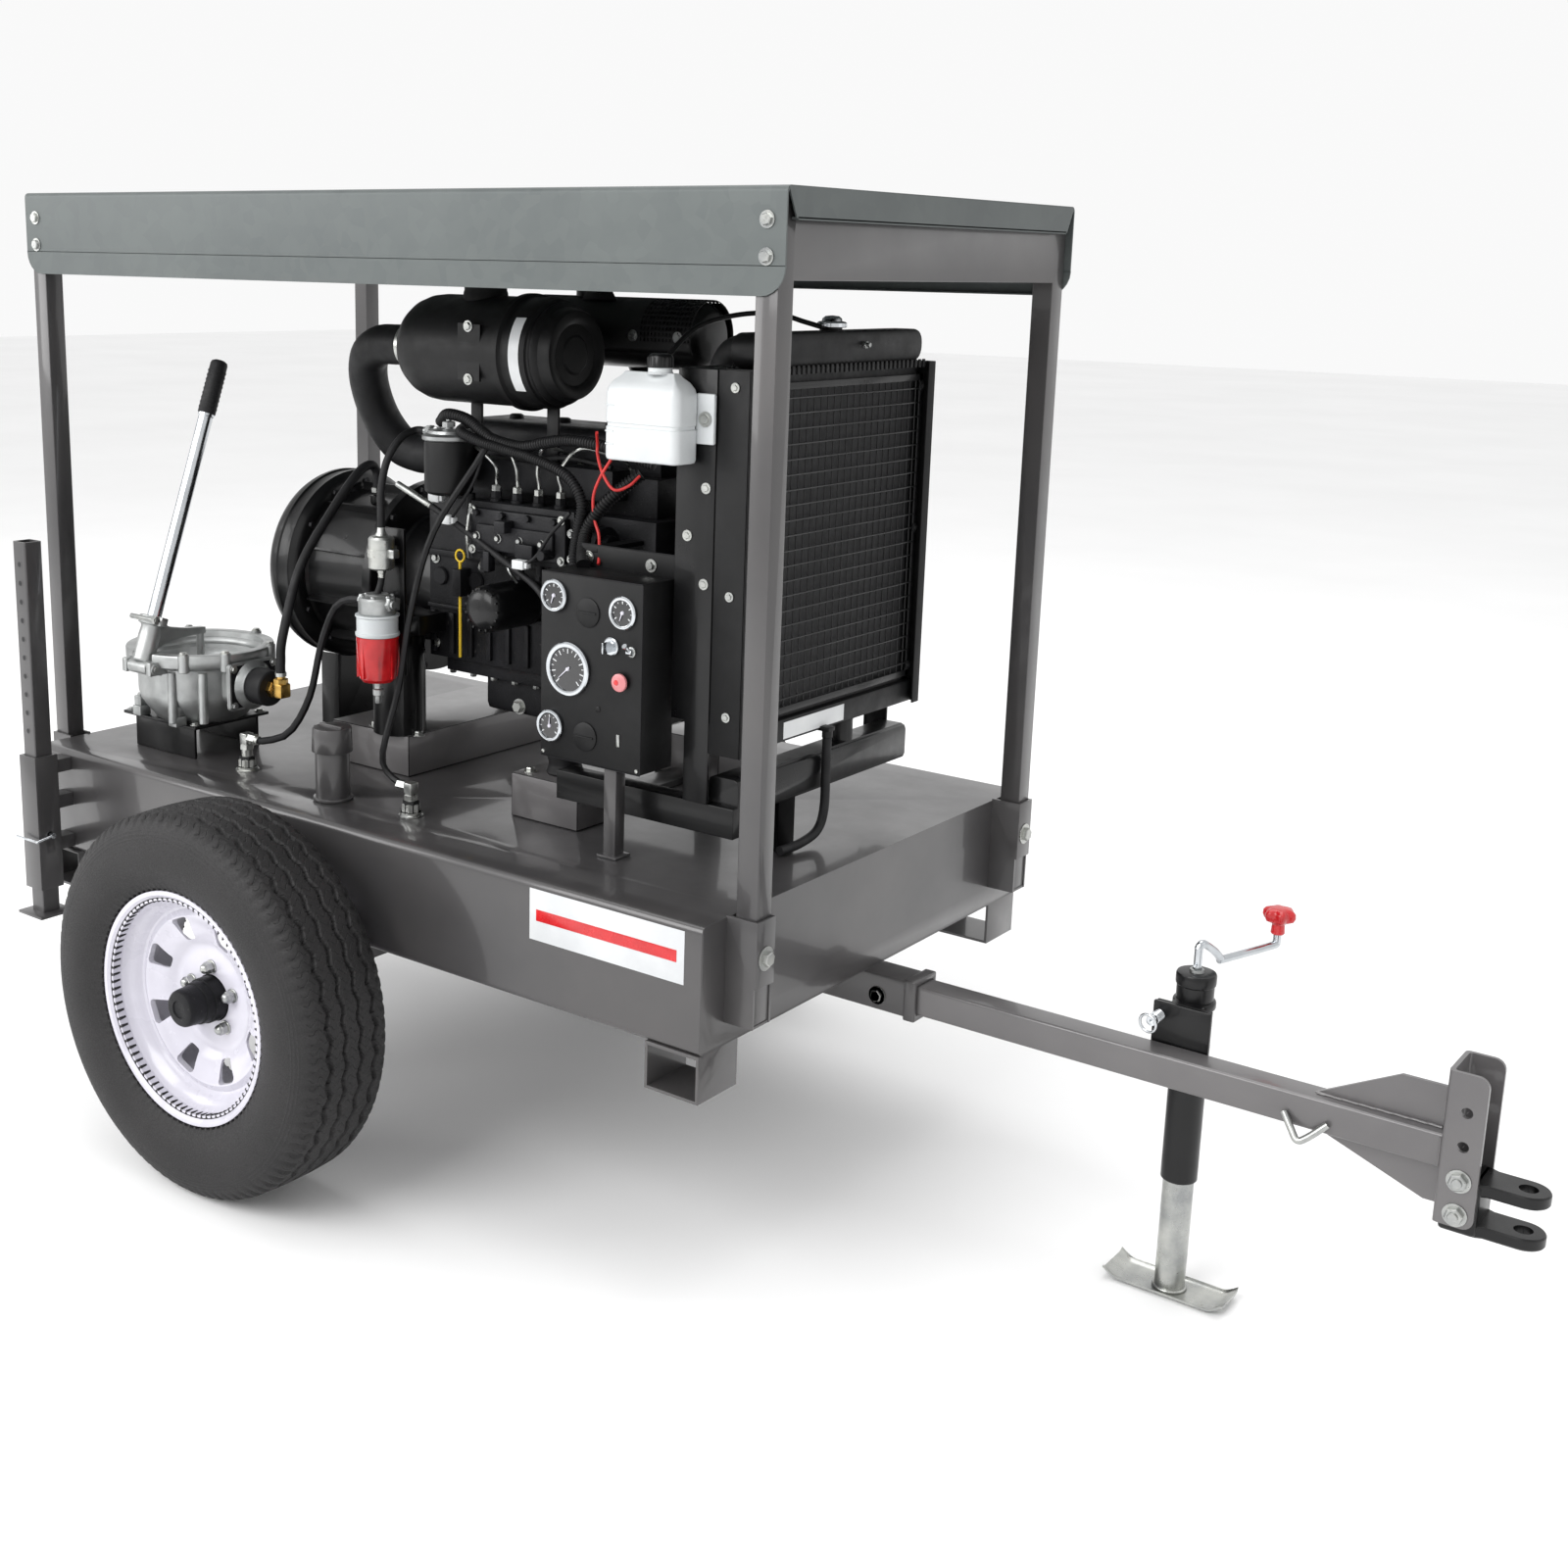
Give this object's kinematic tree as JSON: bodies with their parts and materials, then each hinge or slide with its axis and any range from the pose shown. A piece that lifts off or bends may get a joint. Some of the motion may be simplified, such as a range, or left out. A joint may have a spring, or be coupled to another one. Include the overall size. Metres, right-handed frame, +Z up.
{
  "type": "towable diesel generator",
  "caption": "Single-axle towable diesel generator: skid-base fuel tank, canopy on posts, water-cooled engine, hand pump, swivel jack, clevis hitch and stabiliser.",
  "frame": {"origin": "middle of the bounding box on the ground plane", "axes": "+X along the tongue to the hitch, +Y to the far side from the control box, +Z up"},
  "size_m": [2.7681, 1.525, 1.71],
  "materials": {
    "paint": "glossy warm grey metallic paint",
    "galvanised": "galvanised sheet steel with a soft spangle",
    "black_paint": "semi-gloss black paint",
    "casting": "dark painted casting",
    "rubber": "matt black rubber",
    "tyre": "dark grey tyre rubber",
    "chrome": "bright zinc or chrome plate",
    "steel": "machined steel",
    "aluminium": "cast aluminium",
    "white_paint": "gloss white paint",
    "red_plastic": "glossy red plastic",
    "white_plastic": "translucent white plastic",
    "black_plastic": "matt black plastic",
    "radiator_black": "aluminium core and tanks painted black",
    "yellow_plastic": "yellow plastic"
  },
  "bodies": {
    "chassis": {"base_tank": "paint", "axle_beam": "paint", "tongue_receiver": "paint", "tongue_bar": "paint", "tongue_channel": "paint", "hitch_clevis": "black_paint", "jack_bracket": "black_paint", "end_frame_front": "paint", "end_frame_rear": "paint", "roof_panel": "galvanised", "stabiliser_sleeve": "paint", "rear_mount_frame": "black_paint", "front_mount_frame": "black_paint", "engine_block": "casting", "cylinder_head": "casting", "oil_sump": "black_paint", "drive_housing": "casting", "radiator": "radiator_black", "radiator_guard": "black_paint", "fan_shroud": "black_paint", "radiator_hose_upper": "rubber", "radiator_hose_lower": "rubber", "coolant_bottle": "white_plastic", "air_cleaner": "black_paint", "intake_hose": "rubber", "muffler": "black_paint", "fuel_filter": "black_paint", "oil_filter": "black_paint", "water_separator": "aluminium", "feed_pump": "aluminium", "filler_neck": "paint", "fuel_supply_line": "rubber", "fuel_return_line": "rubber", "pump_base": "black_paint", "pump_body": "aluminium", "priming_hose": "rubber", "control_box": "black_paint"},
    "wheel_near": {"tyre_near": "tyre", "rim_near": "white_paint", "hub_near": "casting"},
    "wheel_far": {"tyre_far": "tyre", "rim_far": "white_paint", "hub_far": "casting"},
    "jack": {"jack_tube": "black_paint"},
    "jack_foot": {"jack_leg": "chrome"},
    "jack_handle": {"jack_crank": "chrome"},
    "handle_knob": {"jack_knob": "red_plastic"},
    "jack_lock": {"jack_pull_pin": "chrome"},
    "stabiliser": {"stabiliser_leg": "paint"},
    "stabiliser_lock": {"stabiliser_pin": "chrome"},
    "rotor": {"crankshaft": "steel"},
    "cooling_fan": {"fan": "black_plastic"},
    "coolant_lid": {"coolant_cap": "black_plastic"},
    "radiator_lid": {"radiator_cap": "chrome"},
    "fuel_lid": {"filler_cap": "paint"},
    "pump_handle": {"pump_lever": "aluminium"},
    "key": {"key_switch": "chrome"},
    "toggle": {"toggle_switch": "chrome"},
    "reset": {"reset_button": "red_plastic"},
    "oil_stick": {"dipstick": "yellow_plastic"}
  },
  "joints": [
    {"name": "wheel_near_spin", "type": "hinge", "parent": "chassis", "child": "wheel_near", "pos_m": [-0.62205, -0.66, 0.3435], "axis": [0, 1, 0], "continuous": true},
    {"name": "wheel_far_spin", "type": "hinge", "parent": "chassis", "child": "wheel_far", "pos_m": [-0.62205, 0.66, 0.3435], "axis": [0, 1, 0], "continuous": true},
    {"name": "jack_swivel", "type": "hinge", "parent": "chassis", "child": "jack", "pos_m": [0.83475, 0.075, 0.466], "axis": [0, 1, 0], "range_deg": [0, 90]},
    {"name": "jack_crank_turn", "type": "hinge", "parent": "jack", "child": "jack_handle", "pos_m": [0.83475, 0.075, 0.54], "axis": [0, 0, 1], "range_deg": [-2521, 3601]},
    {"name": "jack_extend", "type": "slide", "parent": "jack", "child": "jack_foot", "axis": [0, 0, 1], "range_m": [-0.0875, 0.125]},
    {"name": "jack_knob_spin", "type": "hinge", "parent": "jack_handle", "child": "handle_knob", "pos_m": [0.89375, 0.256, 0.57], "axis": [0, 0, 1], "continuous": true},
    {"name": "jack_pin_pull", "type": "slide", "parent": "chassis", "child": "jack_lock", "axis": [0, -1, 0], "range_m": [0, 0.02], "stiffness_N_per_m": 400},
    {"name": "stabiliser_drop", "type": "slide", "parent": "chassis", "child": "stabiliser", "axis": [0, 0, -1], "range_m": [0, 0.325]},
    {"name": "stabiliser_pin_pull", "type": "slide", "parent": "chassis", "child": "stabiliser_lock", "axis": [1, 0, 0], "range_m": [0, 0.05]},
    {"name": "crankshaft_spin", "type": "hinge", "parent": "chassis", "child": "rotor", "pos_m": [-0.50805, 0, 0.995], "axis": [1, 0, 0], "continuous": true},
    {"name": "fan_spin", "type": "hinge", "parent": "chassis", "child": "cooling_fan", "pos_m": [0.07795, 0, 1.14], "axis": [1, 0, 0], "continuous": true},
    {"name": "pump_stroke", "type": "hinge", "parent": "chassis", "child": "pump_handle", "pos_m": [-1.05805, -0.462, 0.835], "axis": [1, 0, 0], "range_deg": [-12, 12]},
    {"name": "radiator_cap_turn", "type": "hinge", "parent": "chassis", "child": "radiator_lid", "pos_m": [0.16595, 0, 1.512], "axis": [0, 0, 1], "range_deg": [0, 90]},
    {"name": "filler_cap_turn", "type": "hinge", "parent": "chassis", "child": "fuel_lid", "pos_m": [-0.60205, -0.398, 0.76], "axis": [0, 0, 1], "range_deg": [0, 360]},
    {"name": "coolant_cap_lift", "type": "slide", "parent": "chassis", "child": "coolant_lid", "axis": [0, 0, 1], "range_m": [0, 0.03]},
    {"name": "key_turn", "type": "hinge", "parent": "chassis", "child": "key", "pos_m": [-0.00205, -0.352, 1.005], "axis": [0, 1, 0], "range_deg": [0, 60]},
    {"name": "toggle_flip", "type": "hinge", "parent": "chassis", "child": "toggle", "pos_m": [0.03795, -0.3455, 1.001], "axis": [1, 0, 0], "range_deg": [0, 20]},
    {"name": "reset_press", "type": "slide", "parent": "chassis", "child": "reset", "axis": [0, 1, 0], "range_m": [0, 0.005], "stiffness_N_per_m": 600},
    {"name": "dipstick_pull", "type": "slide", "parent": "chassis", "child": "oil_stick", "axis": [0, 0, 1], "range_m": [0, 0.1]}
  ],
  "couplings": [
    {"joint": "jack_crank_turn", "follows": "jack_extend", "rad_per_m": 502.65},
    {"joint": "fan_spin", "follows": "crankshaft_spin", "ratio": 1.1667}
  ]
}
